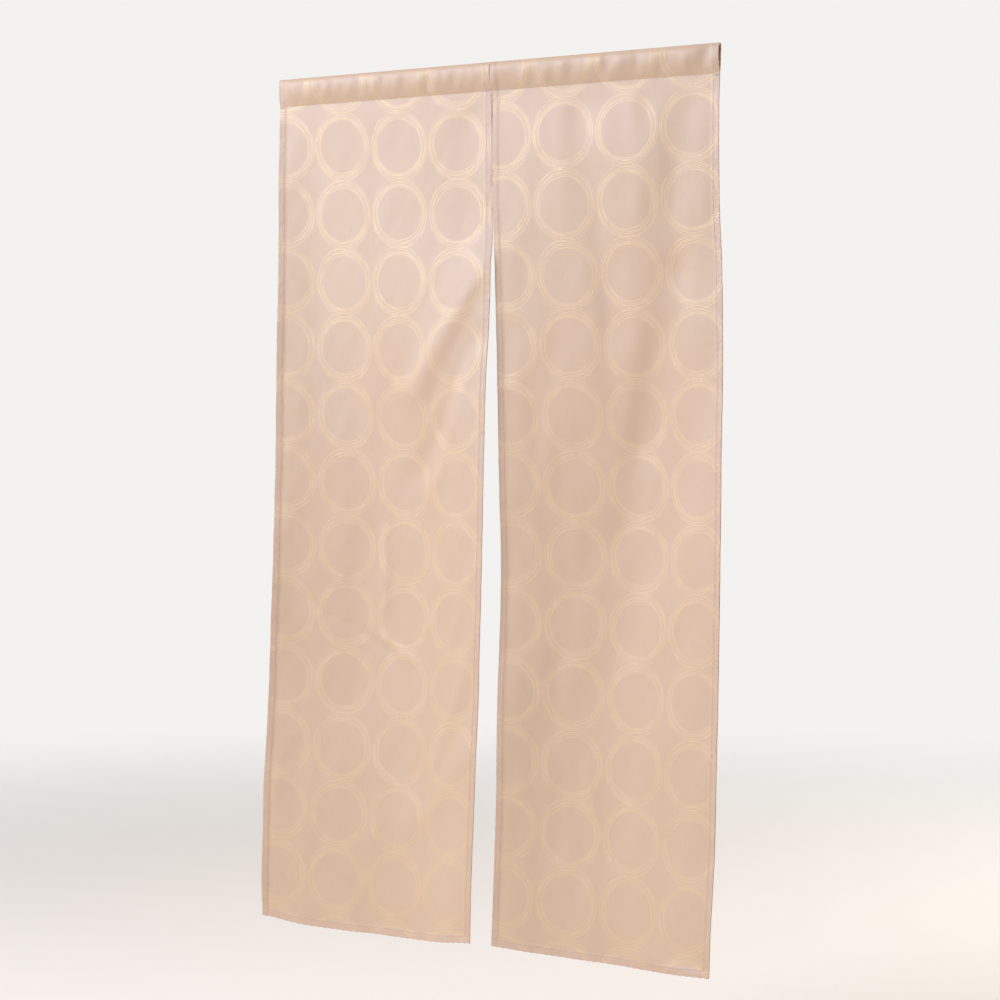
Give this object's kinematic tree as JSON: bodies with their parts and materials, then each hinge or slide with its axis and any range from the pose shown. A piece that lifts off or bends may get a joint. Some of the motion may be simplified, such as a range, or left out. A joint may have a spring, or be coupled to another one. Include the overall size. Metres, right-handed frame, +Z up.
{
  "type": "noren curtain",
  "caption": "Split doorway curtain of satin ring-patterned cloth, hung by a sewn rod pocket, its panels joined at the top and parted by a slit below.",
  "frame": {"origin": "middle of the curtain's top edge, over the rod's middle", "axes": "+Z up, +X to the right as seen from the front, and the front of the cloth faces -Y"},
  "size_m": [0.8782, 0.0672, 1.504],
  "materials": {
    "satin_cloth": "pinkish beige satin jacquard with pale peach rings, soft sheen"
  },
  "bodies": {
    "root": {"pocket_left": "satin_cloth", "pocket_right": "satin_cloth", "panel_left": "satin_cloth", "panel_right": "satin_cloth"}
  },
  "joints": []
}
